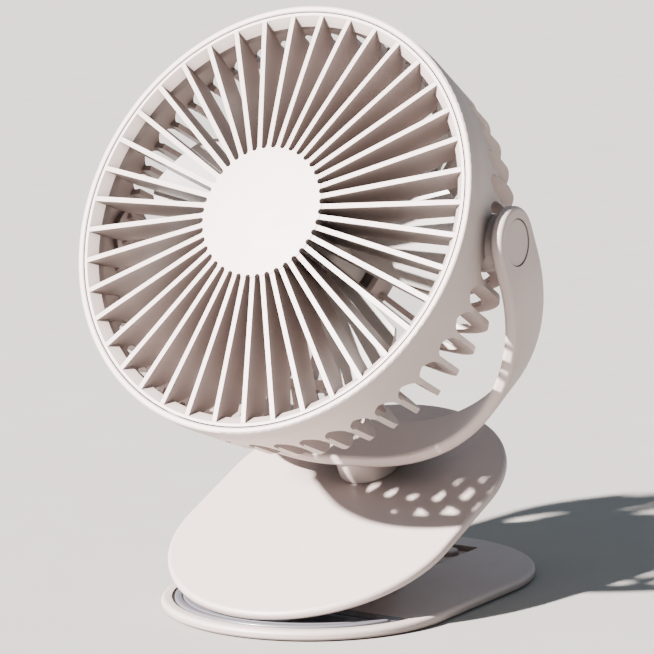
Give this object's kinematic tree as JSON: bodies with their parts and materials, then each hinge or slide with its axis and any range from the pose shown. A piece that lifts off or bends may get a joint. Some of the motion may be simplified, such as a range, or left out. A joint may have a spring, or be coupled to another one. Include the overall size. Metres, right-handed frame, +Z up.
{
  "type": "desk fan",
  "caption": "Small desk fan: a round grilled head tilts in a U-shaped yoke that swivels on a sprung two-plate clip, which also serves as its stand.",
  "frame": {"origin": "middle of the flat underside of the base, on the surface it stands on", "axes": "+Z up; the clip's mouth and the airflow point towards -Y; +X along the clip's hinge pin"},
  "size_m": [0.1586, 0.1431, 0.1969],
  "materials": {
    "shell": "satin, warm off-white",
    "fan_plastic": "satin, light grey",
    "pad": "smooth silicone, silver grey",
    "mat": "matt grey rubber",
    "dark_plastic": "matt",
    "steel": "bright zinc",
    "spring_steel": "dark drawn wire",
    "core_steel": "stacked sheet",
    "copper": "enamelled wire",
    "magnet": "matt ferrite",
    "circuit_board": "green solder mask",
    "cell": "silver pouch foil",
    "port_metal": "plated",
    "light_guide": "milky"
  },
  "bodies": {
    "base": {"lower_plate": "shell", "base_mat": "mat", "lower_pad": "pad", "spring_seat": "shell", "hinge_pin": "steel", "hinge_clip": "steel", "torsion_spring": "spring_steel"},
    "jaw": {"upper_plate": "shell", "upper_pad": "pad", "jaw_tray": "shell", "tray_screws": "steel", "battery": "cell", "control_board": "circuit_board", "charge_port": "port_metal", "charge_light": "light_guide", "swivel_bush": "dark_plastic"},
    "button": {"power_button": "shell"},
    "yoke": {"yoke": "shell", "swivel_washer": "steel", "swivel_screw": "steel", "pivot_cap_right": "shell", "pivot_cap_left": "shell"},
    "head": {"fan_housing": "shell", "front_grille": "shell", "rear_cap": "shell", "motor_base": "dark_plastic", "motor_screws": "steel", "bearing_rear": "steel", "bearing_front": "steel", "stator_core": "core_steel", "stator_windings": "copper", "pivot_screw_right": "steel", "pivot_screw_left": "steel"},
    "impeller": {"impeller": "fan_plastic", "rotor_can": "steel", "rotor_magnets": "magnet", "motor_shaft": "steel"}
  },
  "joints": [
    {"name": "clip_hinge", "type": "hinge", "parent": "base", "child": "jaw", "pos_m": [0, -0.008, 0.013], "axis": [-1, 0, 0], "range_deg": [0, 25], "stiffness_Nm_per_rad": 0.35, "springref_deg": -51.57, "deforming": ["torsion_spring"]},
    {"name": "yoke_swivel", "type": "hinge", "parent": "jaw", "child": "yoke", "pos_m": [0, 0.01383, 0.0397], "axis": [0, -0.3859, 0.9225], "range_deg": [-170, 170]},
    {"name": "head_tilt", "type": "hinge", "parent": "yoke", "child": "head", "pos_m": [0, -0.02059, 0.12199], "axis": [0.9972, 0.0692, 0.0289], "range_deg": [-70, 110]},
    {"name": "impeller_spin", "type": "hinge", "parent": "head", "child": "impeller", "pos_m": [0.00027, -0.0255, 0.12445], "axis": [0.0489, -0.8925, 0.4485], "continuous": true},
    {"name": "button_press", "type": "slide", "parent": "jaw", "child": "button", "axis": [0, -0.9225, -0.3859], "range_m": [0, 0.0006], "stiffness_N_per_m": 1500, "springref_m": -0.0003}
  ]
}
